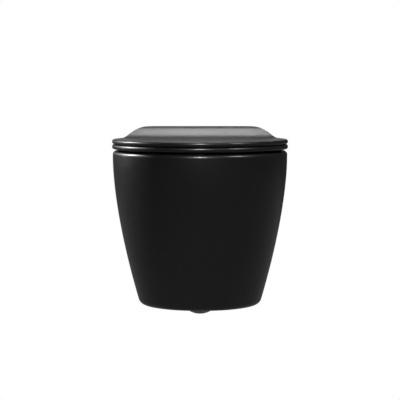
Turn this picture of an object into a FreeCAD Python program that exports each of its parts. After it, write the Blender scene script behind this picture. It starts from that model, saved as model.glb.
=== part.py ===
import FreeCAD, Part
import math
import os
from types import SimpleNamespace
import Sketcher

# Wall hung toilet: china pan, soft-closing seat and lid, lift-off hinges and concealed wall fixings.
# Frame: the origin is midway between the two wall fixings, on the wall's face. +X is to the right
# of someone who faces the wall, the wall lies in +Y and the pan's front points to -Y, +Z is up.

Vector = FreeCAD.Vector
Rotation = FreeCAD.Rotation

# Driving dimensions in millimetres and degrees. "Level" and "rise" are heights above the fixings,
# "setback" and "reach" are distances from the wall.
DIMENSIONS = {
    # Pan, outside
    "pan_width": 360.0,
    "pan_reach": 495.0,
    "widest_reach": 265.0,
    "wall_edge_width": 300.0,
    "rim_level": 80.0,
    "skirt_depth": 318.0,
    "straight_band": 20.0,
    "side_taper": 55.7,
    "front_taper": 100.0,
    "china_thickness": 12.0,
    "deck_thickness": 12.0,
    "floor_thickness": 14.0,
    "rim_rounding": 7.0,
    "foot_rounding": 15.0,
    "opening_rounding": 5.0,
    # Bowl and its sump
    "opening_width": 280.0,
    "opening_front": 455.0,
    "opening_back": 150.0,
    "bowl_depth": 240.0,
    "bowl_upright": 70.0,
    "bowl_draft": 4.0,
    "bowl_swell_width": 206.0,
    "bowl_swell_depth": 165.0,
    "sump_width": 70.0,
    "sump_depth": 25.0,
    "sump_reach": 285.0,
    # Trap and outlet
    "trap_bore": 65.0,
    "trap_wall": 12.0,
    "trap_drop": 58.0,
    "bend_radius": 45.0,
    "trap_slope": 60.0,
    "outlet_depth": 100.0,
    "outlet_setback": 40.0,
    "spigot_length": 52.0,
    "spigot_width": 102.0,
    "spigot_bore": 80.0,
    # Flush inlet
    "inlet_level": 35.0,
    "inlet_bore": 55.0,
    "inlet_wall": 10.0,
    "inlet_depth": 45.0,
    "inlet_setback": 30.0,
    "channel_bore": 44.0,
    # Wall fixings
    "fixing_spacing": 180.0,
    "stud_hole_radius": 6.2,
    "sleeve_radius": 11.0,
    "sleeve_length": 60.0,
    "sleeve_fit": 0.05,
    "sleeve_groove_depth": 1.5,
    "sleeve_groove_width": 10.0,
    "bushing_wall": 3.9,
    "boss_wall": 9.0,
    "boss_length": 62.0,
    "clamp_setback": 35.0,
    "clamp_screw_radius": 4.0,
    "clamp_screw_length": 34.0,
    "clamp_socket_radius": 2.3,
    "clamp_socket_depth": 4.0,
    "clamp_hole_radius": 6.0,
    "rib_height": 18.0,
    "rib_width": 40.0,
    "cap_radius": 8.0,
    "cap_depth": 8.0,
    # Hinge feet on the deck
    "post_spacing": 155.0,
    "hinge_setback": 84.0,
    "hinge_rise": 28.0,
    "deck_hole_radius": 7.5,
    "gasket_radius": 22.0,
    "gasket_thickness": 1.0,
    "plate_radius": 21.5,
    "plate_thickness": 2.5,
    "plate_bevel": 1.0,
    "post_radius": 5.0,
    "post_height": 17.5,
    "post_bevel": 1.0,
    "post_groove_level": 12.5,
    "post_groove_height": 2.4,
    "post_groove_depth": 0.8,
    "shank_radius": 4.0,
    "shank_length": 35.0,
    "anchor_radius": 7.3,
    "anchor_length": 20.0,
    "anchor_lip": 2.0,
    "nut_radius": 7.5,
    "nut_thickness": 6.5,
    "foot_fit": 0.1,
    # Hinge blocks
    "block_length": 20.0,
    "block_depth": 20.0,
    "block_underside": 11.5,
    "neck_depth": 16.8,
    "block_lift": 0.3,
    "post_fit": 0.05,
    "post_headroom": 0.4,
    "bore_depth": 8.0,
    "pin_radius": 3.5,
    "pin_length": 14.5,
    "shaft_radius": 3.0,
    "running_fit": 0.05,
    "clip_wire": 1.0,
    "clip_height": 2.0,
    "clip_length": 14.0,
    "clip_room": 0.3,
    "button_width": 12.0,
    "button_height": 5.0,
    "button_depth": 4.0,
    "button_proud": 2.0,
    "button_travel": 2.0,
    "button_room": 0.25,
    "button_below_axis": 9.2,
    # Hinge barrels, cheeks and dampers
    "barrel_radius": 11.0,
    "barrel_inner_end": 8.0,
    "barrel_end_wall": 3.0,
    "barrel_gap": 0.6,
    "damper_radius": 8.5,
    "damper_length": 50.0,
    "damper_shaft_grip": 12.0,
    "cheek_thickness": 7.0,
    "cheek_radius": 7.5,
    "bush_wall": 1.65,
    "bush_inset": 0.2,
    # Seat
    "seat_width": 363.0,
    "seat_reach": 498.0,
    "cheek_room": 12.4,
    "seat_gap": 4.0,
    "seat_thickness": 9.5,
    "seat_back": 96.5,
    "seat_rounding": 4.0,
    "seat_side_border": 69.5,
    "seat_front_border": 53.0,
    "seat_hole_back": 165.0,
    "seat_arm_start": 125.0,
    "buffer_clearance": 0.3,
    "seat_buffer_length": 27.0,
    "seat_buffer_width": 12.0,
    "side_buffer_offset": 154.0,
    "side_buffer_reach": 265.0,
    "front_buffer_offset": 55.0,
    "front_buffer_reach": 463.0,
    # Lid
    "lid_gap": 1.2,
    "lid_thickness": 9.0,
    "lid_skin": 5.5,
    "lid_border": 6.0,
    "lid_rounding": 4.0,
    "hump_foot": 178.0,
    "hump_ridge": 89.0,
    "hump_height": 22.5,
    "lid_back": 65.0,
    "lid_back_rounding": 9.0,
    "lip_thickness": 5.0,
    "lip_level_above_axis": 1.0,
    "lip_start": 110.0,
    "window_room": 1.2,
    "window_skin": 3.0,
    "lid_web_depth": 16.0,
    "lid_buffer_length": 20.0,
    "lid_buffer_width": 9.0,
    "lid_side_buffer_offset": 142.0,
    "lid_side_buffer_reach": 230.0,
    "lid_front_buffer_offset": 50.0,
    "lid_front_buffer_reach": 455.0,
}

# Shapes of curves, as plain ratios and powers
TAPER_POWER = 1.58
SIDE_SHARES = (0.0, 0.5, 1.0)
TAIL_SHARES = (0.0, 0.33, 0.67, 1.0)
FRONT_TURNS = (0, 22.5, 45, 67.5, 90, 112.5, 135, 157.5, 180)
SECTION_SHARES = (0.0, 0.2, 0.4, 0.6, 0.8, 1.0)
HUMP_EASE = 0.36
# Where the seat's arms touch their barrels: 20 degrees forward of the lowest point, 45 of the highest
LOW_TANGENT_SINE = 0.34
LOW_TANGENT_COSINE = 0.94
HALF_TURN_SINE = 0.71
OVERCUT = 5.0
SEAM_TOLERANCE = 0.001

UPRIGHT = Rotation()
ALONG_X = Rotation(Vector(0, 0, 1), Vector(1, 0, 0))
ALONG_MINUS_X = Rotation(Vector(0, 0, 1), Vector(-1, 0, 0))
ALONG_Y = Rotation(Vector(0, 0, 1), Vector(0, 1, 0))
SIDES = {"left": -1, "right": 1}


class Size:
    """A dimension, or a sum of some: its value and the formula that binds a property to it."""

    def __init__(self, value, text):
        self.value = float(value)
        self.text = text

    @staticmethod
    def of(thing):
        return thing if isinstance(thing, Size) else Size(thing, f"{thing:.6g}")

    def _with(self, sign, other, value):
        return Size(value, f"({self.text} {sign} {Size.of(other).text})")

    def __add__(self, other):
        return self._with("+", other, self.value + Size.of(other).value)

    def __sub__(self, other):
        return self._with("-", other, self.value - Size.of(other).value)

    def __mul__(self, other):
        return self._with("*", other, self.value * Size.of(other).value)

    def __truediv__(self, other):
        return self._with("/", other, self.value / Size.of(other).value)

    def __radd__(self, other):
        return Size.of(other) + self

    def __rsub__(self, other):
        return Size.of(other) - self

    def __rmul__(self, other):
        return Size.of(other) * self

    def __neg__(self):
        return -1 * self


document = FreeCAD.newDocument("WallHungToilet")
sheet = document.addObject("Spreadsheet::Sheet", "dims")
for row, (alias, number) in enumerate(DIMENSIONS.items(), start=1):
    sheet.set(f"A{row}", alias)
    sheet.set(f"B{row}", str(number))
    sheet.setAlias(f"B{row}", alias)
document.recompute()
d = SimpleNamespace(**{alias: Size(sheet.get(alias), "dims." + alias) for alias in DIMENSIONS})
plain = SimpleNamespace(**{alias: float(sheet.get(alias)) for alias in DIMENSIONS})
nodes = {}


# Small helpers that make one bound object each

def bind(thing, **formulas):
    for name, size in formulas.items():
        thing.setExpression(name, Size.of(size).text)


def put(thing, x=0, y=0, z=0, turn=UPRIGHT):
    thing.Placement = FreeCAD.Placement(Vector(), turn)
    for axis, size in zip("xyz", (x, y, z)):
        thing.setExpression("Placement.Base." + axis, Size.of(size).text)
    return thing


def rod(name, radius, length, x=0, y=0, z=0, turn=UPRIGHT):
    thing = document.addObject("Part::Cylinder", name)
    bind(thing, Radius=radius, Height=length)
    return put(thing, x, y, z, turn)


def hexagon(name, radius, length, x=0, y=0, z=0, turn=UPRIGHT):
    thing = document.addObject("Part::Prism", name)
    thing.Polygon = 6
    bind(thing, Circumradius=radius, Height=length)
    return put(thing, x, y, z, turn)


def brick(name, width, depth, height, x=0, y=0, z=0):
    """A box whose x and y are its middle and whose z is its underside."""
    thing = document.addObject("Part::Box", name)
    bind(thing, Length=width, Width=depth, Height=height)
    return put(thing, x - Size.of(width) / 2, y - Size.of(depth) / 2, z)


def joined(name, *pieces):
    thing = document.addObject("Part::MultiFuse", name)
    thing.Shapes = list(pieces)
    return thing


def grouped(name, *pieces):
    """Separate solids kept together as one node."""
    thing = document.addObject("Part::Compound", name)
    thing.Links = list(pieces)
    return thing


def cut(name, base, *tools):
    thing = document.addObject("Part::Cut", name)
    thing.Base = base
    thing.Tool = tools[0] if len(tools) == 1 else joined(name + "_tools", *tools)
    return thing


def computed(name, shape):
    thing = document.addObject("Part::Feature", name)
    thing.Shape = shape
    thing.Placement = FreeCAD.Placement()
    return thing


def outline(body, plane_role, corners):
    """A closed sketch on one of the body's own planes, with both coordinates of each corner bound."""
    sketch = body.newObject("Sketcher::SketchObject", body.Name + "_outline")
    planes = {feature.Role: feature for feature in body.Origin.OriginFeatures}
    sketch.AttachmentSupport = [(planes[plane_role], "")]
    sketch.MapMode = "FlatFace"
    corners = [(Size.of(across), Size.of(up)) for across, up in corners]
    points = [Vector(across.value, up.value, 0) for across, up in corners]
    count = len(points)
    for index in range(count):
        sketch.addGeometry(Part.LineSegment(points[index], points[(index + 1) % count]), False)
    for index in range(count):
        sketch.addConstraint(Sketcher.Constraint("Coincident", index, 2, (index + 1) % count, 1))
    for index, corner in enumerate(corners):
        for kind, axis_line, size in zip(("DistanceX", "DistanceY"), (-2, -1), corner):
            if size.text == "0":
                sketch.addConstraint(Sketcher.Constraint("PointOnObject", index, 1, axis_line))
                continue
            number = sketch.addConstraint(Sketcher.Constraint(kind, -1, 1, index, 1, size.value))
            sketch.setExpression(f"Constraints[{number}]", size.text)
    return sketch


def turned(name, corners, x=0, y=0, z=0, turn=UPRIGHT):
    """A piece turned round its own axis; each corner is a radius and a height along the axis."""
    body = document.addObject("PartDesign::Body", name)
    sketch = outline(body, "XZ_Plane", corners)
    revolution = body.newObject("PartDesign::Revolution", name + "_turning")
    revolution.Profile = sketch
    revolution.ReferenceAxis = (sketch, ["V_Axis"])
    revolution.Angle = 360.0
    return put(body, x, y, z, turn)


def padded(name, corners, length, x=0):
    """A plate whose outline lies in the YZ plane and which is as thick as length along +X."""
    body = document.addObject("PartDesign::Body", name)
    sketch = outline(body, "YZ_Plane", corners)
    pad = body.newObject("PartDesign::Pad", name + "_thickness")
    pad.Profile = sketch
    pad.Length = Size.of(length).value
    bind(pad, Length=length)
    return put(body, x)


def keep(label, thing):
    """Name a finished piece; the name is its node's and its file's."""
    thing.Label = label
    nodes[label] = thing
    return thing


# Curves and lofts for the china and the plastic covers

def oval_arc(centre, half_width, half_length, level, start, end):
    arc = Part.Arc(Part.Circle(), math.radians(start), math.radians(end)).toShape()
    shaping = FreeCAD.Matrix()
    shaping.scale(half_width, half_length, 1.0)
    shaping.move(Vector(0, centre, level))
    return arc.transformGeometry(shaping)


def oval(centre, half_width, half_length, level):
    ends = ((0, 180), (180, 360))
    return Part.Wire([oval_arc(centre, half_width, half_length, level, start, end) for start, end in ends])


def smooth_curve(points, first_tangent=None, last_tangent=None):
    """One smooth curve through some points, with its end directions where they are given."""
    curve = Part.BSplineCurve()
    if first_tangent is None:
        curve.interpolate(points)
    else:
        curve.interpolate(Points=points, InitialTangent=first_tangent, FinalTangent=last_tangent, Scale=False)
    return curve.toShape()


def side_curve(half_width, wall_half, level):
    """A gentle arc from the widest line to the wall, carried a little past it."""
    reach = plain.widest_reach
    step = half_width - wall_half
    radius = (step ** 2 + reach ** 2) / (2 * step)
    points = []
    for share in SIDE_SHARES:
        along = (reach + OVERCUT) * share
        rise = math.sqrt(radius ** 2 - along ** 2)
        points.append(Vector(half_width - radius + rise, along - reach, level))
    return smooth_curve(points, Vector(0, 1, 0), Vector(-along, rise, 0).normalize())


def front_curve(half_width, length, level):
    """The rounded front half, from the left side over the front to the right side."""
    points = []
    for turn in FRONT_TURNS:
        angle = math.radians(turn)
        points.append(Vector(-half_width * math.cos(angle),
                             -plain.widest_reach - length * math.sin(angle), level))
    return smooth_curve(points, Vector(0, -1, 0), Vector(0, 1, 0))


def mirrored(point):
    return Vector(-point.x, point.y, point.z)


def mirror_edge(edge):
    return edge.mirror(Vector(0, 0, 0), Vector(1, 0, 0))


def pan_section(level, inset):
    """Closed outline of the pan at a level, which ends a little past the wall; inset shrinks it."""
    depth = max(0.0, plain.rim_level - plain.straight_band - level)
    taper = (depth / (plain.skirt_depth - plain.straight_band)) ** TAPER_POWER
    outer_half = plain.pan_width / 2 - plain.side_taper * taper
    half_width = outer_half - inset
    wall_half = outer_half * plain.wall_edge_width / plain.pan_width - inset
    front = plain.pan_reach - plain.front_taper * taper - inset
    right = side_curve(half_width, wall_half, level)
    end = right.Vertexes[-1].Point
    front_edge = front_curve(half_width, front - plain.widest_reach, level)
    return Part.Wire([front_edge, right, Part.makeLine(end, mirrored(end)), mirror_edge(right)])


def pan_form(bottom, top, inset=0.0):
    """Lofted body between two levels, straight above the taper's start."""
    band = plain.rim_level - plain.straight_band
    levels = [bottom + (band - bottom) * share for share in SECTION_SHARES]
    sections = [pan_section(level, inset) for level in levels + [top]]
    return Part.makeLoft(sections, True)


def flat_edges(shape, level, skip_wall=True):
    """Edges that lie in a level, without the one along the wall."""
    found = []
    for edge in shape.Edges:
        box = edge.BoundBox
        on_level = abs(box.ZMin - level) < 0.01 and abs(box.ZMax - level) < 0.01
        on_wall = box.YMin > -0.01
        if on_level and not (skip_wall and on_wall):
            found.append(edge)
    return found


def rounded(shape, radius, edges):
    """Round some edges and mend the seams between the roundings."""
    result = shape.makeFillet(radius, edges)
    result.fix(SEAM_TOLERANCE, SEAM_TOLERANCE, SEAM_TOLERANCE * 10)
    return result


def pan_outside():
    foot = plain.rim_level - plain.skirt_depth
    form = pan_form(foot, plain.rim_level)
    form = rounded(form, plain.rim_rounding, flat_edges(form, plain.rim_level))
    form = rounded(form, plain.foot_rounding, flat_edges(form, foot))
    behind_wall = Part.makeBox(plain.pan_width, OVERCUT * 2, plain.skirt_depth,
                               Vector(-plain.pan_width / 2, 0, foot))
    return form.cut(behind_wall)


def bowl_form(grow, top_level):
    """The bowl: one profile turned half round at the front and at the back, and straight between."""
    open_half = plain.opening_width / 2 + grow
    sump_half = plain.sump_width / 2 + grow
    front_centre = -plain.opening_front + plain.opening_width / 2
    back_centre = -plain.opening_back - plain.opening_width / 2
    floor_level = plain.rim_level - plain.bowl_depth - grow
    turn_level = plain.rim_level - plain.bowl_upright
    swell = Vector(plain.bowl_swell_width / 2 + grow, 0, plain.rim_level - plain.bowl_swell_depth)
    rim = Vector(open_half, 0, top_level)
    shoulder = Vector(open_half - plain.bowl_draft, 0, turn_level)
    neck = Vector(sump_half + plain.bowl_draft, 0, floor_level + plain.sump_depth)
    sump = Vector(sump_half, 0, floor_level)
    edges = [
        Part.makeLine(Vector(0, 0, top_level), rim),
        Part.makeLine(rim, shoulder),
        Part.Arc(shoulder, swell, neck).toShape(),
        Part.makeLine(neck, sump),
        Part.makeLine(sump, Vector(0, 0, floor_level)),
        Part.makeLine(Vector(0, 0, floor_level), Vector(0, 0, top_level)),
    ]
    half = Part.Face(Part.Wire(edges))
    front = half.revolve(Vector(0, 0, 0), Vector(0, 0, -1), 180)
    front.translate(Vector(0, front_centre, 0))
    back = half.revolve(Vector(0, 0, 0), Vector(0, 0, 1), 180)
    back.translate(Vector(0, back_centre, 0))
    other = half.mirror(Vector(0, 0, 0), Vector(1, 0, 0))
    straight = Vector(0, back_centre - front_centre, 0)
    middle = []
    for face in (half, other):
        slab = face.copy()
        slab.translate(Vector(0, front_centre, 0))
        middle.append(slab.extrude(straight))
    return front.fuse([back] + middle).removeSplitter()


def trap_path():
    """Down from the sump, round the lower bend, up the slope and round to the outlet."""
    slope = math.radians(plain.trap_slope)
    bend = plain.bend_radius
    low = plain.rim_level - plain.bowl_depth - plain.trap_drop + bend
    start = Vector(0, -plain.sump_reach, plain.rim_level - plain.bowl_depth + OVERCUT)
    down = Vector(0, -plain.sump_reach, low)
    centre = down + Vector(0, bend, 0)
    lean = math.pi / 4 - slope / 2
    bottom = centre - Vector(0, bend * math.sin(lean), bend * math.cos(lean))
    out = centre + Vector(0, bend * math.sin(slope), -bend * math.cos(slope))
    climb = -plain.outlet_depth - out.z - bend * (1 - math.cos(slope))
    along = Vector(0, math.cos(slope), math.sin(slope))
    knee = out + along * (climb / math.sin(slope))
    crown = knee + Vector(0, bend * math.sin(slope), -bend * math.cos(slope))
    halfway = crown + Vector(0, -bend * math.sin(slope / 2), bend * math.cos(slope / 2))
    level_out = crown + Vector(0, 0, bend)
    end = Vector(0, -plain.outlet_setback - plain.spigot_length + OVERCUT, -plain.outlet_depth)
    return [
        Part.makeLine(start, down),
        Part.Arc(down, bottom, out).toShape(),
        Part.makeLine(out, knee),
        Part.Arc(knee, halfway, level_out).toShape(),
        Part.makeLine(level_out, end),
    ]


def trap_pipe(radius):
    path = Part.Wire(trap_path())
    start = path.Edges[0].Vertexes[0].Point
    ring = Part.Wire([Part.makeCircle(radius, start, Vector(0, 0, -1))])
    return path.makePipeShell([ring], True, False)


def along_y(radius, start, end, x, z):
    return Part.makeCylinder(radius, end - start, Vector(x, start, z), Vector(0, 1, 0))


def along_x(radius, start, end, side, y, z):
    return Part.makeCylinder(radius, end - start, Vector(side * start, y, z), Vector(side, 0, 0))


def pan_china(outside):
    """The one-piece china body: skirt, deck, bowl, trap, inlet, outlet and fixing bosses."""
    foot = plain.rim_level - plain.skirt_depth
    deck_underside = plain.rim_level - plain.deck_thickness
    hollow = pan_form(foot + plain.floor_thickness, deck_underside, plain.china_thickness)
    bowl_back = -plain.opening_back - OVERCUT
    inlet_start = -plain.inlet_setback - plain.inlet_depth
    spigot_start = -plain.outlet_setback - plain.spigot_length
    half_bore = plain.inlet_bore / 2
    solids = [
        bowl_form(plain.china_thickness, plain.rim_level - plain.deck_thickness / 2),
        trap_pipe(plain.trap_bore / 2 + plain.trap_wall),
        along_y(half_bore + plain.inlet_wall, bowl_back, -plain.inlet_setback, 0, plain.inlet_level),
        along_y(plain.spigot_width / 2, spigot_start, -plain.outlet_setback, 0, -plain.outlet_depth),
    ]
    holes = [
        bowl_form(0.0, plain.rim_level),
        trap_pipe(plain.trap_bore / 2),
        along_y(half_bore, inlet_start, 0, 0, plain.inlet_level),
        along_y(plain.channel_bore / 2, bowl_back - OVERCUT, inlet_start + 1, 0, plain.inlet_level),
        along_y(plain.spigot_bore / 2, spigot_start + OVERCUT * 2, 0, 0, -plain.outlet_depth),
    ]
    boss_bore = plain.sleeve_radius + plain.bushing_wall + 2 * plain.sleeve_fit
    fixing = plain.fixing_spacing / 2
    for side in SIDES.values():
        solids.append(along_y(boss_bore + plain.boss_wall, -plain.boss_length, 0, side * fixing, 0))
        rib_corner = Vector(min(side * fixing, side * plain.pan_width / 2),
                            -plain.clamp_setback - plain.rib_width / 2, -plain.rib_height / 2)
        rib = Part.makeBox(plain.pan_width / 2 - fixing, plain.rib_width, plain.rib_height, rib_corner)
        solids.append(rib.common(outside))
        holes.append(along_y(boss_bore, -plain.boss_length - 1, 1, side * fixing, 0))
        holes.append(along_x(plain.clamp_hole_radius, fixing, plain.pan_width / 2, side,
                             -plain.clamp_setback, 0))
        holes.append(along_x(plain.cap_radius + plain.sleeve_fit, cap_start(), plain.pan_width / 2,
                             side, -plain.clamp_setback, 0))
        post = Vector(side * plain.post_spacing / 2, -plain.hinge_setback, deck_underside - 1)
        holes.append(Part.makeCylinder(plain.deck_hole_radius, plain.deck_thickness + 2, post))
    china = outside.cut(hollow).fuse(solids)
    china = china.cut(holes)
    opening = [edge for edge in flat_edges(china, plain.rim_level)
               if edge.BoundBox.XMax < plain.opening_width / 2 + 1
               and edge.BoundBox.YMax < -plain.opening_back + 1
               and edge.BoundBox.YMin > -plain.opening_front - 1
               and edge.BoundBox.XMin > -plain.opening_width / 2 - 1]
    return rounded(china, plain.opening_rounding, opening)


def cap_start():
    """Where the side cap's inner end lies, in from the pan's side at the clamping screw."""
    reach = plain.widest_reach
    outer_half = plain.pan_width / 2 - plain.side_taper * (
        (plain.rim_level - plain.straight_band) / (plain.skirt_depth - plain.straight_band)) ** TAPER_POWER
    step = outer_half * (1 - plain.wall_edge_width / plain.pan_width)
    radius = (step ** 2 + reach ** 2) / (2 * step)
    behind = reach - plain.clamp_setback
    return outer_half - radius + math.sqrt(radius ** 2 - behind ** 2) - plain.cap_depth


def cover_tail():
    """How far the oval's back half reaches, so that seat and lid still cover the outer cheeks."""
    cheek_end = (plain.post_spacing + plain.block_length) / 2 + plain.barrel_gap + plain.cheek_thickness
    covered = (cheek_end + plain.lid_border + plain.cheek_room) / (plain.seat_width / 2)
    return (plain.widest_reach - plain.hinge_setback) / math.sqrt(1 - covered ** 2)


def cover_plan(inset, back, back_inset=0.0):
    """Oval plan shared by seat and lid, cut straight at the back."""
    centre = -plain.widest_reach
    half_width = plain.seat_width / 2 - inset
    front = plain.seat_reach - plain.widest_reach - inset
    tail = cover_tail() - inset
    turn = math.asin((-back - back_inset - centre) / tail)
    side = [Vector(half_width * math.cos(turn * share), centre + tail * math.sin(turn * share), 0)
            for share in TAIL_SHARES]
    leaving = Vector(0, 1, 0)
    arriving = Vector(-half_width * math.sin(turn), tail * math.cos(turn), 0).normalize()
    right = smooth_curve(side, leaving, arriving)
    back_edge = Part.makeLine(side[-1], mirrored(side[-1]))
    return Part.Wire([front_curve(half_width, front, 0), right, back_edge, mirror_edge(right)])


def raised(wire, bottom, top):
    face = Part.Face(wire)
    face.translate(Vector(0, 0, bottom))
    return face.extrude(Vector(0, 0, top - bottom))


def outer_rim_edges(shape):
    """The curved edges round the top and the underside of a cover."""
    found = []
    for edge in shape.Edges:
        box = edge.BoundBox
        upright = box.XLength < 0.01 and box.YLength < 0.01
        across = box.YLength < 0.01 and box.ZLength < 0.01
        if not upright and not across:
            found.append(edge)
    return found


axis_level = d.rim_level + d.hinge_rise
seat_bottom = d.rim_level + d.seat_gap
seat_top = seat_bottom + d.seat_thickness
lid_bottom = seat_top + d.lid_gap
lid_top = lid_bottom + d.lid_thickness
ridge_level = lid_top + d.hump_height
half_posts = d.post_spacing / 2
block_inner_face = half_posts - d.block_length / 2
block_outer_face = half_posts + d.block_length / 2
barrel_end = block_inner_face - d.barrel_gap
cheek_start = block_outer_face + d.barrel_gap
plate_top = d.rim_level + d.gasket_thickness + d.plate_thickness


def lid_side(drop, border, bottom, stepped):
    """Side view of the lid: flat, then a soft S up to the ridge over the hinges, then level."""
    top = lid_top.value - drop
    ridge = ridge_level.value - drop
    front = -plain.seat_reach - OVERCUT
    back = -plain.lid_back - border
    foot = -plain.hump_foot
    crest = -plain.hump_ridge
    ease = (crest - foot) * HUMP_EASE
    rounding = max(1.0, plain.lid_back_rounding - drop)
    corner = Vector(0, back - rounding, ridge - rounding)
    bend = Vector(0, rounding * math.sin(math.pi / 4), rounding * math.cos(math.pi / 4))
    wave = Part.BezierCurve()
    wave.setPoles([Vector(0, foot, top), Vector(0, foot + ease, top),
                   Vector(0, crest - ease, ridge), Vector(0, crest, ridge)])
    lip = axis_level.value + plain.lip_level_above_axis
    step = -plain.lip_start
    floor = [Vector(0, back, lip), Vector(0, step, lip), Vector(0, step, bottom)]
    floor = floor if stepped else [Vector(0, back, bottom)]
    points = [Vector(0, back, ridge - rounding)] + floor
    points += [Vector(0, front, bottom), Vector(0, front, top), Vector(0, foot, top)]
    edges = [Part.makeLine(a, b) for a, b in zip(points, points[1:])]
    edges.append(wave.toShape())
    edges.append(Part.makeLine(Vector(0, crest, ridge), Vector(0, back - rounding, ridge)))
    edges.append(Part.Arc(Vector(0, back - rounding, ridge), corner + bend,
                          Vector(0, back, ridge - rounding)).toShape())
    half_width = plain.seat_width
    side = Part.Face(Part.Wire(edges))
    side.translate(Vector(-half_width, 0, 0))
    return side.extrude(Vector(2 * half_width, 0, 0))


def lid_cover():
    """The lid's shell: oval, humped over the hinges, hollow underneath."""
    bottom = lid_bottom.value
    plan = raised(cover_plan(0, plain.lid_back), bottom - 1, ridge_level.value + 1)
    shell = plan.common(lid_side(0, 0, bottom, True)).Solids[0]
    upper = [edge for edge in outer_rim_edges(shell) if edge.BoundBox.ZMax > bottom + 1]
    shell = rounded(shell, plain.lid_rounding, upper)
    lower = [edge for edge in flat_edges(shell, bottom) if edge.BoundBox.YLength > 1]
    shell = rounded(shell, plain.lid_rounding, lower)
    lip_inset = plain.lip_thickness
    inner_plan = raised(cover_plan(plain.lid_border, plain.lid_back, lip_inset),
                        bottom - 2, ridge_level.value + 1)
    recess = inner_plan.common(lid_side(plain.lid_skin, lip_inset, bottom - 2, False))
    return shell.cut(recess)


def seat_plate():
    """The seat's ring, rounded at its outer and inner edges."""
    bottom = seat_bottom.value
    plate = raised(cover_plan(0, plain.seat_back), bottom, seat_top.value)
    hole_front = plain.seat_reach - plain.seat_front_border
    hole_centre = -(hole_front + plain.seat_hole_back) / 2
    hole_length = (hole_front - plain.seat_hole_back) / 2
    hole_half = plain.seat_width / 2 - plain.seat_side_border
    hole = raised(oval(hole_centre, hole_half, hole_length, 0), bottom - 1, seat_top.value + 1)
    plate = plate.cut(hole)
    return rounded(plate, plain.seat_rounding, outer_rim_edges(plate))


# Wall fixings

def wall_fixing(side_name, side, pan_form_object):
    fixing = side * d.fixing_spacing / 2
    groove = d.sleeve_groove_width / 2
    from_end = d.sleeve_length - d.clamp_setback
    sleeve = turned("stud_sleeve_" + side_name, [
        (d.stud_hole_radius, 0),
        (d.sleeve_radius, 0),
        (d.sleeve_radius, from_end - groove),
        (d.sleeve_radius - d.sleeve_groove_depth, from_end - groove),
        (d.sleeve_radius - d.sleeve_groove_depth, from_end + groove),
        (d.sleeve_radius, from_end + groove),
        (d.sleeve_radius, d.sleeve_length),
        (d.stud_hole_radius, d.sleeve_length),
    ], fixing, -d.sleeve_length, 0, ALONG_Y)
    keep("stud_sleeve_" + side_name, sleeve)

    bushing_radius = d.sleeve_radius + d.sleeve_fit + d.bushing_wall
    bushing = cut(
        "bushing_" + side_name,
        rod("bushing_out_" + side_name, bushing_radius, d.sleeve_length,
            fixing, -d.sleeve_length, 0, ALONG_Y),
        rod("bushing_in_" + side_name, d.sleeve_radius + d.sleeve_fit, d.sleeve_length + 2,
            fixing, -d.sleeve_length - 1, 0, ALONG_Y),
        rod("bushing_side_" + side_name, d.clamp_screw_radius + d.sleeve_fit, d.sleeve_radius * 2,
            fixing, -d.clamp_setback, 0, ALONG_X if side > 0 else ALONG_MINUS_X),
    )
    keep("guide_bushing_" + side_name, bushing)

    outward = ALONG_X if side > 0 else ALONG_MINUS_X
    seat_of_screw = d.fixing_spacing / 2 + d.sleeve_radius - d.sleeve_groove_depth + d.sleeve_fit
    screw_end = seat_of_screw + d.clamp_screw_length
    screw = cut(
        "screw_" + side_name,
        rod("screw_stem_" + side_name, d.clamp_screw_radius, d.clamp_screw_length,
            side * seat_of_screw, -d.clamp_setback, 0, outward),
        hexagon("screw_socket_" + side_name, d.clamp_socket_radius, d.clamp_socket_depth + 1,
                side * (screw_end - d.clamp_socket_depth), -d.clamp_setback, 0, outward),
    )
    keep("clamp_screw_" + side_name, screw)

    plug = document.addObject("Part::Common", "cap_" + side_name)
    plug.Base = rod("cap_stem_" + side_name, d.cap_radius, d.pan_width / 2,
                    side * cap_start(), -d.clamp_setback, 0, outward)
    plug.Tool = pan_form_object
    keep("side_cap_" + side_name, plug)


# Hinge feet

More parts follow.
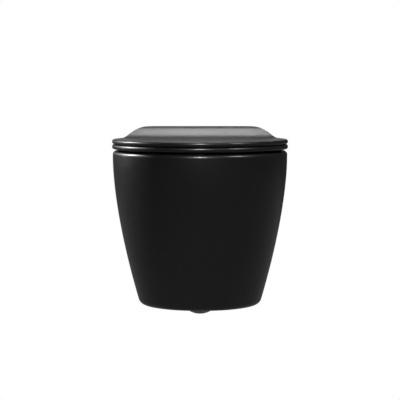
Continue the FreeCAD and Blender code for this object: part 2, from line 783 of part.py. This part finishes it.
def hinge_foot(side_name, side):
    x = side * half_posts
    y = -d.hinge_setback
    keep("plate_gasket_" + side_name, turned("plate_gasket_" + side_name, [
        (d.shank_radius + d.foot_fit, 0),
        (d.gasket_radius, 0),
        (d.gasket_radius, d.gasket_thickness),
        (d.shank_radius + d.foot_fit, d.gasket_thickness),
    ], x, y, d.rim_level))
    keep("base_plate_" + side_name, turned("base_plate_" + side_name, [
        (d.shank_radius + d.foot_fit, 0),
        (d.plate_radius, 0),
        (d.plate_radius, d.plate_thickness - d.plate_bevel),
        (d.plate_radius - d.plate_bevel, d.plate_thickness),
        (d.shank_radius + d.foot_fit, d.plate_thickness),
    ], x, y, d.rim_level + d.gasket_thickness))
    groove_radius = d.post_radius - d.post_groove_depth
    groove_top = d.post_groove_level + d.post_groove_height
    keep("hinge_post_" + side_name, turned("hinge_post_" + side_name, [
        (0, -d.shank_length),
        (d.shank_radius, -d.shank_length),
        (d.shank_radius, 0),
        (d.post_radius, 0),
        (d.post_radius, d.post_groove_level),
        (groove_radius, d.post_groove_level),
        (groove_radius, groove_top),
        (d.post_radius, groove_top),
        (d.post_radius, d.post_height - d.post_bevel),
        (d.post_radius - d.post_bevel, d.post_height),
        (0, d.post_height),
    ], x, y, plate_top))
    keep("deck_anchor_" + side_name, turned("deck_anchor_" + side_name, [
        (d.shank_radius + d.foot_fit, 0),
        (d.anchor_radius + d.anchor_lip, 0),
        (d.anchor_radius + d.anchor_lip, d.anchor_length - d.deck_thickness - d.foot_fit),
        (d.anchor_radius, d.anchor_length - d.deck_thickness - d.foot_fit),
        (d.anchor_radius, d.anchor_length - d.foot_fit),
        (d.shank_radius + d.foot_fit, d.anchor_length - d.foot_fit),
    ], x, y, d.rim_level - d.anchor_length))
    nut_level = d.rim_level - d.anchor_length - d.nut_thickness
    keep("anchor_nut_" + side_name, cut(
        "nut_" + side_name,
        hexagon("nut_blank_" + side_name, d.nut_radius, d.nut_thickness, x, y, nut_level),
        rod("nut_bore_" + side_name, d.shank_radius + d.foot_fit, d.nut_thickness + 2, x, y, nut_level - 1),
    ))


# Hinge blocks with clip, button, pin and damper shaft

def hinge_block(side_name, side):
    x = side * half_posts
    y = -d.hinge_setback
    outward = ALONG_X if side > 0 else ALONG_MINUS_X
    block_bottom = plate_top + d.block_lift
    shoulder = axis_level - d.block_underside
    bore_top = plate_top + d.post_height + d.post_headroom
    clip_level = plate_top + d.post_groove_level + (d.post_groove_height - d.clip_height) / 2
    groove_radius = d.post_radius - d.post_groove_depth
    clip_half = groove_radius + d.foot_fit + d.clip_wire
    clip_front = y - d.clip_length / 2 - d.clip_wire
    button_level = axis_level - d.button_below_axis
    button_back = y + d.block_depth / 2 + d.button_proud
    pocket_depth = d.button_depth - d.button_proud + d.button_travel + d.button_room
    blank = joined(
        "block_blank_" + side_name,
        brick("block_neck_" + side_name, d.block_length, d.neck_depth, shoulder - block_bottom + 1,
              x, y, block_bottom),
        brick("block_body_" + side_name, d.block_length, d.block_depth, d.block_underside, x, y, shoulder),
        rod("block_head_" + side_name, d.block_depth / 2, d.block_length,
            side * block_inner_face, y, axis_level, outward),
    )
    block = cut(
        "block_" + side_name,
        blank,
        rod("post_bore_" + side_name, d.post_radius + d.post_fit, bore_top - block_bottom + 1,
            x, y, block_bottom - 1),
        rod("shaft_bore_" + side_name, d.shaft_radius + d.running_fit, d.bore_depth + d.button_room + 1,
            side * (block_inner_face - 1), y, axis_level, outward),
        rod("pin_bore_" + side_name, d.pin_radius + d.running_fit, d.bore_depth + d.button_room + 1,
            side * (block_outer_face - d.bore_depth - d.button_room), y, axis_level, outward),
        brick("clip_slot_" + side_name, 2 * (clip_half + d.clip_room),
              d.clip_length + d.clip_wire + 2 * d.clip_room, d.clip_height + 2 * d.clip_room,
              x, y - d.clip_wire / 2, clip_level - d.clip_room),
        brick("button_pocket_" + side_name, d.button_width + 2 * d.button_room,
              pocket_depth + 1, d.button_height + 2 * d.button_room,
              x, y + d.block_depth / 2 - (pocket_depth - 1) / 2, button_level - d.button_room),
    )
    keep("hinge_block_" + side_name, block)

    clip = cut(
        "clip_" + side_name,
        brick("clip_blank_" + side_name, 2 * clip_half, d.clip_length + d.clip_wire, d.clip_height,
              x, y - d.clip_wire / 2, clip_level),
        brick("clip_gap_" + side_name, 2 * (clip_half - d.clip_wire), d.clip_length + 1, d.clip_height + 2,
              x, clip_front + d.clip_wire + (d.clip_length + 1) / 2, clip_level - 1),
    )
    keep("retaining_clip_" + side_name, clip)

    keep("release_button_" + side_name,
         brick("button_" + side_name, d.button_width, d.button_depth, d.button_height,
               x, button_back - d.button_depth / 2, button_level))

    pin_start = block_outer_face - d.bore_depth
    keep("hinge_pin_" + side_name,
         rod("pin_" + side_name, d.pin_radius, d.pin_length, side * pin_start, y, axis_level, outward))


def damper(cover, side):
    """Soft-close cylinder inside a barrel, with its shaft keyed in the hinge block."""
    y = -d.hinge_setback
    outward = ALONG_X if side > 0 else ALONG_MINUS_X
    start = d.barrel_inner_end + d.barrel_end_wall + d.barrel_gap
    shaft_start = start + d.damper_length - d.damper_shaft_grip
    cylinder = cut(
        cover + "_damper_body",
        rod(cover + "_damper_blank", d.damper_radius, d.damper_length, side * start, y, axis_level, outward),
        rod(cover + "_damper_bore", d.shaft_radius + d.running_fit,
            d.damper_shaft_grip + d.button_room + 1,
            side * (shaft_start - d.button_room), y, axis_level, outward),
    )
    keep(cover + "_damper", cylinder)
    shaft_end = block_inner_face + d.bore_depth
    keep(cover + "_damper_shaft",
         rod(cover + "_shaft", d.shaft_radius, shaft_end - shaft_start,
             side * shaft_start, y, axis_level, outward))


def cheek_bush(cover, side):
    y = -d.hinge_setback
    outward = ALONG_X if side > 0 else ALONG_MINUS_X
    start = cheek_start + d.bush_inset
    length = d.cheek_thickness - 2 * d.bush_inset
    bore = d.pin_radius + d.running_fit
    keep(cover + "_cheek_bush", cut(
        cover + "_bush",
        rod(cover + "_bush_blank", bore + d.bush_wall, length, side * start, y, axis_level, outward),
        rod(cover + "_bush_bore", bore, length + 2, side * (start - 1), y, axis_level, outward),
    ))


def barrel_solids(cover, side):
    """Barrel and cheek cylinders, and the bores that go through them."""
    y = -d.hinge_setback
    barrel_way = ALONG_X if side > 0 else ALONG_MINUS_X
    cheek_way = ALONG_MINUS_X if side > 0 else ALONG_X
    bush_radius = d.pin_radius + d.running_fit + d.bush_wall + d.running_fit
    solids = [
        rod(cover + "_barrel", d.barrel_radius, barrel_end - d.barrel_inner_end,
            side * d.barrel_inner_end, y, axis_level, barrel_way),
        rod(cover + "_cheek", d.cheek_radius, d.cheek_thickness,
            -side * cheek_start, y, axis_level, cheek_way),
    ]
    bores = [
        rod(cover + "_barrel_bore", d.damper_radius + d.running_fit, barrel_end - d.barrel_inner_end,
            side * (d.barrel_inner_end + d.barrel_end_wall), y, axis_level, barrel_way),
        rod(cover + "_cheek_bore", bush_radius, d.cheek_thickness + 2,
            -side * (cheek_start - 1), y, axis_level, cheek_way),
    ]
    return solids, bores


# Seat: barrel on the left, cheek on the right

def seat():
    solids, bores = barrel_solids("seat", -1)
    y = -d.hinge_setback
    spans = {
        "barrel": (barrel_end - d.barrel_inner_end, -barrel_end, d.barrel_radius),
        "cheek": (d.cheek_thickness, cheek_start, d.cheek_radius),
    }
    for name, (length, start, radius) in spans.items():
        solids.append(padded("seat_arm_" + name, [
            (-d.seat_arm_start, seat_top),
            (-d.seat_arm_start, seat_bottom + d.seat_rounding),
            (-d.seat_back, seat_bottom + d.seat_rounding / 2),
            (y - radius * LOW_TANGENT_SINE, axis_level - radius * LOW_TANGENT_COSINE),
            (y, axis_level),
            (y - radius * HALF_TURN_SINE, axis_level + radius * HALF_TURN_SINE),
        ], length, start))
    keep("seat_ring", cut("seat_whole", joined("seat_blank", computed("seat_plate", seat_plate()), *solids),
                          *bores))
    buffers = []
    pad_height = d.seat_gap - d.buffer_clearance
    places = {"side": (d.side_buffer_offset, d.side_buffer_reach),
              "front": (d.front_buffer_offset, d.front_buffer_reach)}
    for name, (offset, reach) in places.items():
        for side_name, side in SIDES.items():
            buffers.append(brick(f"seat_buffer_{name}_{side_name}", d.seat_buffer_length, d.seat_buffer_width,
                                 pad_height, side * offset, -reach, seat_bottom - pad_height))
    keep("seat_buffers", grouped("seat_buffer_group", *buffers))


# Lid: barrel on the right, cheek on the left

def lid():
    solids, bores = barrel_solids("lid", 1)
    y = -d.hinge_setback
    web_top = ridge_level - d.lid_skin + 1
    spans = {
        "barrel": (barrel_end - d.barrel_inner_end, (barrel_end + d.barrel_inner_end) / 2, d.lid_web_depth),
        "cheek": (d.cheek_thickness, -(cheek_start + d.cheek_thickness / 2), d.cheek_radius * 2 - 1),
    }
    for name, (width, middle, depth) in spans.items():
        solids.append(brick("lid_web_" + name, width, depth, web_top - axis_level, middle, y, axis_level))
    windows = []
    window_top = ridge_level - d.window_skin
    for side_name, side in SIDES.items():
        windows.append(brick("lid_window_" + side_name, d.block_length + 2 * d.window_room,
                             2 * (d.hinge_setback - d.lid_back + OVERCUT), window_top - axis_level,
                             side * half_posts, y, axis_level))
    keep("lid", cut("lid_whole", joined("lid_blank", computed("lid_cover", lid_cover()), *solids),
                    *bores, *windows))
    buffers = []
    pad_bottom = seat_top + d.buffer_clearance
    pad_top = lid_top - d.lid_skin
    places = {"side": (d.lid_side_buffer_offset, d.lid_side_buffer_reach),
              "front": (d.lid_front_buffer_offset, d.lid_front_buffer_reach)}
    for name, (offset, reach) in places.items():
        for side_name, side in SIDES.items():
            buffers.append(brick(f"lid_buffer_{name}_{side_name}", d.lid_buffer_length, d.lid_buffer_width,
                                 pad_top - pad_bottom, side * offset, -reach, pad_bottom))
    keep("lid_buffers", grouped("lid_buffer_group", *buffers))


outside = pan_outside()
outside_form = computed("pan_outside", outside)
keep("ceramic_pan", computed("china", pan_china(outside)))
for side_name, side in SIDES.items():
    wall_fixing(side_name, side, outside_form)
    hinge_foot(side_name, side)
    hinge_block(side_name, side)
for cover, barrel_side in (("seat", -1), ("lid", 1)):
    damper(cover, barrel_side)
    cheek_bush(cover, -barrel_side)
seat()
lid()
document.recompute()

for thing in document.Objects:
    if "Invalid" in thing.State or "Error" in thing.State:
        raise RuntimeError(f"{thing.Label} failed: {thing.State}")
os.makedirs("parts", exist_ok=True)
for label, thing in nodes.items():
    shape = thing.Shape
    if shape.isNull() or not shape.isValid():
        raise RuntimeError(f"{label} has no valid shape")
    shape.exportStep(f"parts/{label}.step")
    print(f"{label}: {len(shape.Solids)} solid(s), {shape.Volume / 1000:.1f} cm3")
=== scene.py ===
import math

import bpy
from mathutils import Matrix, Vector

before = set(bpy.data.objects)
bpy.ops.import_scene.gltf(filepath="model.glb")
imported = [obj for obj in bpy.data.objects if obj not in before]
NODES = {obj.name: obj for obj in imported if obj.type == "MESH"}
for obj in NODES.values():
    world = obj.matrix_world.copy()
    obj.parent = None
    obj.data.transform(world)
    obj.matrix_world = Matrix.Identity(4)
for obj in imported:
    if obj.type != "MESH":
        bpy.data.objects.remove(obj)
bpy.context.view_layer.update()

# Wall hung toilet in satin black, in metres: +X right, +Y into the wall, +Z up, origin on the wall
# midway between the two fixings.

SIDES = ("left", "right")


# Writing finishes: a signal is one socket, and arithmetic on it adds Math nodes

class Signal:
    """One output of a material's nodes, used in sums like a number."""

    def __init__(self, finish, socket):
        self.finish = finish
        self.socket = socket

    def _math(self, operation, first, second):
        return self.finish.node("ShaderNodeMath", {"operation": operation}, {0: first, 1: second})

    def __add__(self, other):
        return self._math("ADD", self, other)

    def __radd__(self, other):
        return self._math("ADD", other, self)

    def __sub__(self, other):
        return self._math("SUBTRACT", self, other)

    def __rsub__(self, other):
        return self._math("SUBTRACT", other, self)

    def __mul__(self, other):
        return self._math("MULTIPLY", self, other)

    def __rmul__(self, other):
        return self._math("MULTIPLY", other, self)

    def __gt__(self, other):
        return self._math("GREATER_THAN", self, other)


class Finish:
    """A node tree in the making: node() adds any node and returns the signal of one output."""

    def __init__(self, tree):
        self.tree = tree
        self.tree.nodes.clear()

    def node(self, kind, settings=None, sockets=None, output=0):
        made = self.tree.nodes.new(kind)
        for name, value in (settings or {}).items():
            setattr(made, name, value)
        for name, value in (sockets or {}).items():
            if isinstance(value, Signal):
                self.tree.links.new(value.socket, made.inputs[name])
            else:
                made.inputs[name].default_value = value
        return Signal(self, made.outputs[output]) if made.outputs else made

    def place(self):
        return self.node("ShaderNodeTexCoord", output="Object")

    def axes(self):
        """The three coordinates of a point on the piece, in metres."""
        split = self.node("ShaderNodeSeparateXYZ", sockets={0: self.place()}).socket.node
        return [Signal(self, output) for output in split.outputs]

    def noise(self, scale, detail=2.0, roughness=0.5):
        return self.node("ShaderNodeTexNoise", sockets={
            "Vector": self.place(), "Scale": scale, "Detail": detail, "Roughness": roughness})

    def between(self, factor, first, second):
        """A colour between two others."""
        return self.node("ShaderNodeMix", {"data_type": "RGBA"}, {0: factor, 6: first, 7: second}, 2)

    def bump(self, relief, distance):
        return self.node("ShaderNodeBump", sockets={"Height": relief, "Distance": distance, "Strength": 1.0})

    def surface(self, **sockets):
        """The shader of a piece; an underscore stands for a space in a socket's name."""
        named = {name.replace("_", " "): value for name, value in sockets.items()}
        shader = self.node("ShaderNodeBsdfPrincipled", sockets=named)
        self.node("ShaderNodeOutputMaterial", sockets={"Surface": shader})


def finish(name):
    material = bpy.data.materials.new(name)
    material.use_nodes = True
    return material, Finish(material.node_tree)


def tone(value, tint=(1.0, 1.0, 1.0)):
    return tuple(value * part for part in tint) + (1.0,)


# Finishes of this toilet; the glaze and the moulded seat share a soft sheen under a thin smoother coat

GLAZE_BLACK = 0.0016
PLASTIC_BLACK = 0.0018
SATIN_SHEEN = 0.075
SATIN_COAT = 0.2
COAT_ROUGHNESS = 0.25
BARE_FROM = -0.0012         # the china is unglazed from here to the wall
CLAY_ROUGHNESS = 0.85
TURNING_MARKS = 26000.0     # radians of the fine rings in each metre


def satin_black_glaze():
    """Satin black glaze over pale china; the edge that meets the wall is left unglazed."""
    material, f = finish("satin_black_glaze")
    into_wall = f.axes()[1]
    cloud = f.noise(9.0, 3.0)
    peel = f.noise(420.0, 2.0, 0.45)
    dimple = f.noise(1500.0, 1.0)
    bare = into_wall > BARE_FROM
    glaze = f.between(cloud, tone(GLAZE_BLACK, (1.0, 1.0, 1.06)),
                      tone(GLAZE_BLACK * 1.5, (1.0, 1.0, 1.04)))
    clay = f.between(f.noise(60.0, 4.0), tone(0.52, (1.0, 0.96, 0.9)), tone(0.62, (1.0, 0.97, 0.92)))
    colour = f.between(bare, glaze, clay)
    satin = 0.37 + 0.04 * cloud + 0.03 * dimple
    rough = satin + bare * (CLAY_ROUGHNESS - satin)
    f.surface(Base_Color=colour, Roughness=rough, Specular_IOR_Level=SATIN_SHEEN,
              Coat_Weight=SATIN_COAT * (1.0 - bare), Coat_Roughness=COAT_ROUGHNESS,
              Normal=f.bump(peel + 0.25 * dimple, 0.00003))
    return material


def satin_black_moulding():
    """Dense moulded plastic of seat and lid, a little smoother than the glaze."""
    material, f = finish("satin_black_moulding")
    cloud = f.noise(14.0, 2.0)
    grain = f.noise(2200.0, 2.0, 0.6)
    wave = f.noise(130.0, 1.0)
    colour = f.between(cloud, tone(PLASTIC_BLACK, (1.0, 1.0, 1.05)),
                       tone(PLASTIC_BLACK * 1.45, (1.0, 1.0, 1.03)))
    rough = 0.37 + 0.04 * cloud + 0.04 * grain
    f.surface(Base_Color=colour, Roughness=rough, Specular_IOR_Level=SATIN_SHEEN,
              Coat_Weight=SATIN_COAT, Coat_Roughness=COAT_ROUGHNESS,
              Normal=f.bump(grain + 0.6 * wave, 0.00002))
    return material


def soft_rubber(name, shade):
    material, f = finish(name)
    powder = f.noise(900.0, 3.0, 0.7)
    bloom = f.noise(40.0, 2.0)
    colour = f.between(bloom, tone(shade), tone(shade * 1.6))
    f.surface(Base_Color=colour, Roughness=0.72 + 0.18 * powder, Specular_IOR_Level=0.25,
              Normal=f.bump(powder, 0.00006))
    return material


def moulded_plastic(name, shade, tint=(1.0, 1.0, 1.0), rough=0.42):
    material, f = finish(name)
    spark = f.noise(1400.0, 2.0, 0.6)
    flow = f.noise(30.0, 3.0)
    colour = f.between(flow, tone(shade * 0.92, tint), tone(shade * 1.08, tint))
    f.surface(Base_Color=colour, Roughness=rough + 0.1 * spark, Specular_IOR_Level=0.4,
              Normal=f.bump(spark, 0.00004))
    return material


def turned_steel(name, shade, lines_along="Z", rough=0.26):
    """Lathe-turned or brushed metal with fine rings across the given axis."""
    material, f = finish(name)
    along = f.axes()["XYZ".index(lines_along)]
    rings = f.node("ShaderNodeMath", {"operation": "SINE"}, {0: along * TURNING_MARKS})
    patina = f.noise(70.0, 4.0, 0.6)
    scratch = f.noise(600.0, 3.0, 0.7)
    colour = f.between(patina, tone(shade * 0.86, (1.0, 1.0, 1.02)), tone(shade, (1.0, 0.99, 0.97)))
    f.surface(Base_Color=colour, Metallic=1.0, Roughness=rough + 0.14 * scratch,
              Normal=f.bump(0.5 * rings + scratch, 0.00003))
    return material


def passivated_zinc():
    """Zinc-plated fixings with a faint warm and blue bloom."""
    material, f = finish("passivated_zinc")
    bloom = f.noise(45.0, 3.0, 0.6)
    pits = f.noise(800.0, 3.0, 0.7)
    colour = f.between(bloom, tone(0.62, (1.0, 0.96, 0.84)), tone(0.58, (0.88, 0.95, 1.0)))
    f.surface(Base_Color=colour, Metallic=1.0, Roughness=0.34 + 0.2 * pits,
              Normal=f.bump(pits, 0.00005))
    return material


def clad(name, material):
    """Give a piece its finish in every slot."""
    piece = NODES[name]
    piece.data.materials.clear()
    piece.data.materials.append(material)


def clad_all():
    moulding = satin_black_moulding()
    clad("ceramic_pan", satin_black_glaze())
    clad("lid", moulding)
    clad("seat_ring", moulding)
    buffer_rubber = soft_rubber("buffer_rubber", 0.006)
    clad("seat_buffers", buffer_rubber)
    clad("lid_buffers", buffer_rubber)
    steel = turned_steel("turned_steel", 0.6)
    cross_turned = turned_steel("cross_turned_steel", 0.6, "X")
    nylon = moulded_plastic("natural_nylon", 0.62, (1.0, 0.98, 0.9), 0.5)
    damper_case = moulded_plastic("damper_case", 0.3, (0.98, 1.0, 1.0))
    hinge_black = moulded_plastic("hinge_black", 0.012, (1.0, 1.0, 1.04), 0.36)
    button_grey = moulded_plastic("button_grey", 0.06)
    cap_black = moulded_plastic("cap_black", 0.008, (1.0, 1.0, 1.04), 0.34)
    gasket = soft_rubber("gasket_rubber", 0.02)
    plate = turned_steel("brushed_plate", 0.55, "Y", 0.3)
    zinc = passivated_zinc()
    finishes = {
        "stud_sleeve": zinc, "clamp_screw": zinc, "guide_bushing": nylon, "side_cap": cap_black,
        "plate_gasket": gasket, "deck_anchor": gasket, "base_plate": plate, "hinge_post": steel,
        "anchor_nut": nylon, "hinge_block": hinge_black, "retaining_clip": steel,
        "release_button": button_grey, "hinge_pin": cross_turned,
    }
    for piece, material in finishes.items():
        for side in SIDES:
            clad(f"{piece}_{side}", material)
    for cover in ("seat", "lid"):
        clad(f"{cover}_damper", damper_case)
        clad(f"{cover}_damper_shaft", cross_turned)
        clad(f"{cover}_cheek_bush", nylon)


# The studio: a pale floor far below, a white card behind, a dim grey room and soft boxes

FLOOR_LEVEL = -1.95
FLOOR_HALF = 14.0
FLOOR_PAPER = 0.6
FLOOR_GLOW = 0.3
FLOOR_GLOW_SHARE = 0.75
CARD_REACH = 6.0
CARD_LEVEL = -0.43
CARD_HALF = 1.3
CARD_PAPER = 0.9
ROOM_SHADE = 0.06


def square_sheet(name, corners, paper_shade, glow_shade, glow_share):
    """A flat square of matt paper that also glows to the eye, in reflections and through glass."""
    mesh = bpy.data.meshes.new(name)
    mesh.from_pydata(corners, [], [(0, 1, 2, 3)])
    sheet = bpy.data.objects.new(name, mesh)
    bpy.context.scene.collection.objects.link(sheet)
    material, f = finish(name + "_paper")
    matt = f.node("ShaderNodeBsdfDiffuse", sockets={"Color": tone(paper_shade)})
    path = f.node("ShaderNodeLightPath").socket.node
    rays = ("Is Camera Ray", "Is Glossy Ray", "Is Transmission Ray")
    by_eye, in_gloss, through_glass = (Signal(f, path.outputs[ray]) for ray in rays)
    shown = f.node("ShaderNodeMath", {"operation": "MINIMUM"}, {0: by_eye + in_gloss + through_glass, 1: 1.0})
    glow = f.node("ShaderNodeEmission", sockets={"Color": tone(glow_shade), "Strength": 1.0})
    paper = f.node("ShaderNodeMixShader", sockets={0: glow_share * shown, 1: matt, 2: glow})
    f.node("ShaderNodeOutputMaterial", sockets={"Surface": paper})
    mesh.materials.append(material)


def floor_and_card():
    """The card is no wider than the view needs, so the dark glaze keeps its dark edges."""
    half = FLOOR_HALF
    square_sheet("floor", [(-half, -half, FLOOR_LEVEL), (half, -half, FLOOR_LEVEL),
                           (half, half, FLOOR_LEVEL), (-half, half, FLOOR_LEVEL)],
                 FLOOR_PAPER, FLOOR_GLOW, FLOOR_GLOW_SHARE)
    left, right = -CARD_HALF, CARD_HALF
    low, high = CARD_LEVEL - CARD_HALF, CARD_LEVEL + CARD_HALF
    square_sheet("card", [(left, CARD_REACH, low), (right, CARD_REACH, low),
                          (right, CARD_REACH, high), (left, CARD_REACH, high)],
                 CARD_PAPER, 1.0, 1.0)


def grey_room():
    world = bpy.data.worlds.new("room")
    bpy.context.scene.world = world
    world.use_nodes = True
    f = Finish(world.node_tree)
    glow = f.node("ShaderNodeBackground", sockets={"Color": tone(ROOM_SHADE), "Strength": 1.0})
    f.node("ShaderNodeOutputWorld", sockets={"Surface": glow})


# Name, place, width and height in metres, and power in watts; each one faces the pan's middle
PAN_MIDDLE = (0.0, -0.3, 0.05)
SOFT_BOXES = (
    ("overhead", (0.0, 1.75, 1.95), 0.6, 0.4, 12.0),
    ("front_high", (0.0, -2.7, 1.6), 0.28, 0.5, 210.0),
    ("left_tall", (-1.92, 0.95, 1.1), 0.35, 0.6, 110.0),
    ("left_low", (-1.92, 0.95, 0.3), 0.2, 0.4, 6.0),
    ("right_high", (1.65, -0.95, 1.6), 0.4, 0.5, 63.0),
)


def soft_boxes():
    for name, place, width, height, power in SOFT_BOXES:
        lamp = bpy.data.lights.new(name, "AREA")
        lamp.shape = "RECTANGLE"
        lamp.size = width
        lamp.size_y = height
        lamp.energy = power
        box = bpy.data.objects.new(name, lamp)
        bpy.context.scene.collection.objects.link(box)
        box.location = place
        box.rotation_euler = (Vector(PAN_MIDDLE) - Vector(place)).to_track_quat("-Z", "Y").to_euler()


# The photograph's view: a long lens a little above the rim, with the rim at its row in the picture

CAMERA_DISTANCE = 3.7
CAMERA_LEVEL = 0.208
PIXELS_PER_RADIAN = 1661.0
PICTURE_SIDE = 400.0
SENSOR = 36.0
FAR_CLIP = 200.0
RIM_ROW = 150.5
RIM_LEVEL = 0.08
WIDEST_REACH = 0.265


def photograph_camera():
    data = bpy.data.cameras.new("camera")
    camera = bpy.data.objects.new("camera", data)
    bpy.context.scene.collection.objects.link(camera)
    data.sensor_width = SENSOR
    data.lens = PIXELS_PER_RADIAN * SENSOR / PICTURE_SIDE
    data.clip_end = FAR_CLIP
    place = Vector((0.0, -CAMERA_DISTANCE, CAMERA_LEVEL))
    drop = math.atan((CAMERA_LEVEL - RIM_LEVEL) / (CAMERA_DISTANCE - WIDEST_REACH))
    rim_above_middle = math.atan((PICTURE_SIDE / 2 - RIM_ROW) / PIXELS_PER_RADIAN)
    camera.location = place
    camera.rotation_euler = (math.pi / 2 - drop - rim_above_middle, 0.0, 0.0)
    bpy.context.scene.camera = camera


clad_all()
floor_and_card()
grey_room()
soft_boxes()
photograph_camera()
bpy.context.scene.view_settings.view_transform = "Standard"
